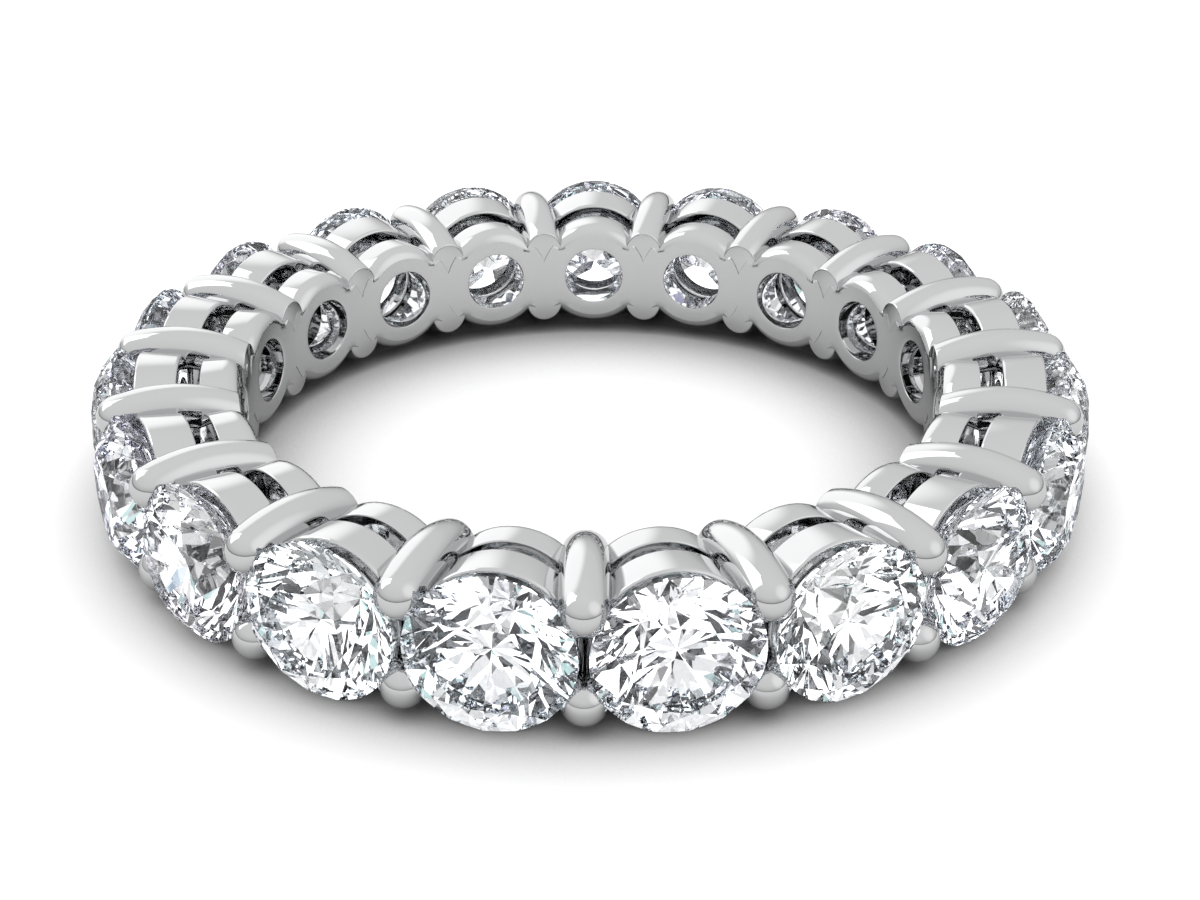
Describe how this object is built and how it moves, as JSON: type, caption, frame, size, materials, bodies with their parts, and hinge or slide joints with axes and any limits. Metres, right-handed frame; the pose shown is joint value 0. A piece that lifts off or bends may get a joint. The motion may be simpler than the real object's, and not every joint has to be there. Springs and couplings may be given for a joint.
{
  "type": "eternity ring",
  "caption": "Eternity ring in polished white metal: round brilliant stones all the way round, held by shared prongs over an open double gallery",
  "frame": {"origin": "on the finger axis, in the plane of the surface that the ring lies on", "axes": "+Z is the finger axis, up as the ring lies on its side; -Y is the front, between two stones; +X is to the right seen from the front"},
  "size_m": [0.024, 0.0238, 0.0036],
  "materials": {
    "white_metal": "mirror polished white gold",
    "clear_stone": "polished facets"
  },
  "bodies": {
    "root": {"setting": "white_metal", "stone_01": "clear_stone", "stone_02": "clear_stone", "stone_03": "clear_stone", "stone_04": "clear_stone", "stone_05": "clear_stone", "stone_06": "clear_stone", "stone_07": "clear_stone", "stone_08": "clear_stone", "stone_09": "clear_stone", "stone_10": "clear_stone", "stone_11": "clear_stone", "stone_12": "clear_stone", "stone_13": "clear_stone", "stone_14": "clear_stone", "stone_15": "clear_stone", "stone_16": "clear_stone", "stone_17": "clear_stone", "stone_18": "clear_stone", "stone_19": "clear_stone"}
  },
  "joints": []
}
